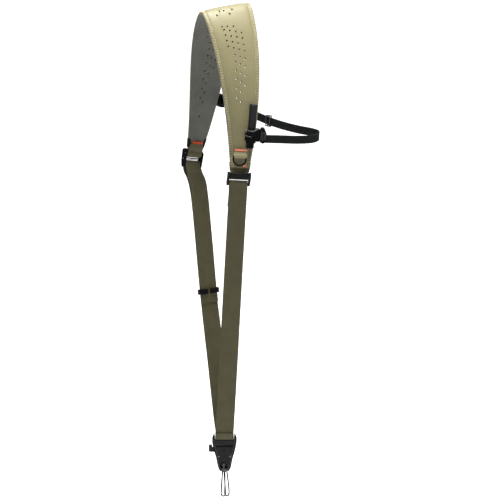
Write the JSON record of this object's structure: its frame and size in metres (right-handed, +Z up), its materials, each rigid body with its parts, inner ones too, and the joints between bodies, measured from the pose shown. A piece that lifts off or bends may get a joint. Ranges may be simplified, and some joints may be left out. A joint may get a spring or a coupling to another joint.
{
  "type": "shoulder sling harness strap",
  "caption": "Padded perforated shoulder sling with webbing legs, slide adjusters, a side stabilizer strap and a quick-release cord connector, for carrying binoculars or a camera.",
  "frame": {"origin": "underside of the pad at the middle of the shoulder ridge", "axes": "+Z up, -Y the front leg, +Y the rear leg, +X the side that the stabilizer strap loops to"},
  "size_m": [0.1867, 0.1594, 0.6873],
  "materials": {
    "pad_cover": "smooth coated stretch fabric, perforated",
    "pad_foam": "closed-cell foam",
    "pad_lining": "knitted spacer mesh",
    "webbing": "woven nylon webbing, satin",
    "tab_fabric": "woven",
    "bartack_thread": "thread",
    "black_plastic": "fine moulded texture",
    "black_fabric": "woven narrow webbing",
    "polished_bar": "polished",
    "pin_steel": "blackened",
    "anchor_plastic": "moulded",
    "cord": "braided cord"
  },
  "bodies": {
    "harness": {"pad_cover": "pad_cover", "pad_foam": "pad_foam", "pad_lining": "pad_lining", "pad_end_patches": "black_fabric", "front_end_loop": "webbing", "rear_end_loop": "webbing", "bartacks": "bartack_thread", "d_ring_tab": "tab_fabric", "front_rail": "black_plastic", "rear_rail": "black_plastic", "front_webbing": "webbing", "rear_webbing": "webbing", "rear_webbing_tail": "webbing", "bottom_loop": "webbing"},
    "d_ring": {"d_ring": "black_plastic"},
    "front_adjuster": {"front_adjuster_frame": "black_plastic", "front_adjuster_pin": "pin_steel", "front_adjuster_bar": "polished_bar", "front_leg_wrap": "webbing"},
    "rear_adjuster": {"rear_adjuster_frame": "black_plastic", "rear_adjuster_pin": "pin_steel", "rear_adjuster_bar": "polished_bar", "rear_leg_wrap": "webbing"},
    "keeper": {"strap_keeper": "black_plastic"},
    "front_slider": {"front_slider": "black_plastic", "buckle_socket": "black_plastic"},
    "stabilizer": {"rear_slider": "black_plastic", "stabilizer_rear_strap": "black_fabric"},
    "buckle": {"buckle_tongue": "black_plastic", "stabilizer_front_strap": "black_fabric"},
    "triglide": {"triglide": "anchor_plastic"},
    "connector": {"connector_front_shell": "black_plastic", "connector_back_shell": "black_plastic", "crossbar_pin": "polished_bar", "shell_rivets": "pin_steel", "button_spring": "polished_bar"},
    "button": {"release_button": "black_plastic"},
    "anchor": {"anchor_ball": "anchor_plastic", "cord_loop_left": "cord", "cord_loop_right": "cord"}
  },
  "joints": [
    {"name": "d_ring_swing", "type": "hinge", "parent": "harness", "child": "d_ring", "pos_m": [0.0196, -0.0725, -0.184], "axis": [-0.993, -0.0786, 0.0881], "range_deg": [0, 120]},
    {"name": "front_adjuster_tilt", "type": "hinge", "parent": "harness", "child": "front_adjuster", "pos_m": [0.01868, -0.06923, -0.20979], "axis": [-0.9941, -0.0802, 0.0733], "range_deg": [0, 32]},
    {"name": "rear_adjuster_tilt", "type": "hinge", "parent": "harness", "child": "rear_adjuster", "pos_m": [-0.0431, 0.06178, -0.2156], "axis": [0.7585, 0.6087, -0.2328], "range_deg": [0, 25]},
    {"name": "keeper_slide", "type": "slide", "parent": "harness", "child": "keeper", "axis": [-0.0938, 0.1573, 0.9831], "range_m": [0, 0.09]},
    {"name": "front_slider_slide", "type": "slide", "parent": "harness", "child": "front_slider", "axis": [0.0892, 0.0991, 0.9911], "range_m": [0, 0.02]},
    {"name": "rear_slider_slide", "type": "slide", "parent": "harness", "child": "stabilizer", "axis": [0.0892, 0.0991, 0.9911], "range_m": [0, 0.02]},
    {"name": "buckle_release", "type": "slide", "parent": "stabilizer", "child": "buckle", "axis": [0.9905, 0.0955, -0.0987], "range_m": [0, 0.012]},
    {"name": "triglide_slide", "type": "slide", "parent": "stabilizer", "child": "triglide", "axis": [-0.7442, 0.6512, 0.1488], "range_m": [-0.004, 0.004]},
    {"name": "connector_pivot", "type": "hinge", "parent": "harness", "child": "connector", "pos_m": [-0.0015, 0, -0.601], "axis": [1, 0, 0], "range_deg": [-30, 30]},
    {"name": "button_press", "type": "slide", "parent": "connector", "child": "button", "axis": [1, 0, 0], "range_m": [0, 0.0007], "stiffness_N_per_m": 450, "deforming": ["button_spring"]},
    {"name": "anchor_release", "type": "slide", "parent": "connector", "child": "anchor", "axis": [0, -1, 0], "range_m": [0, 0.01]}
  ],
  "couplings": [
    {"joint": "rear_slider_slide", "follows": "front_slider_slide", "ratio": 1}
  ]
}
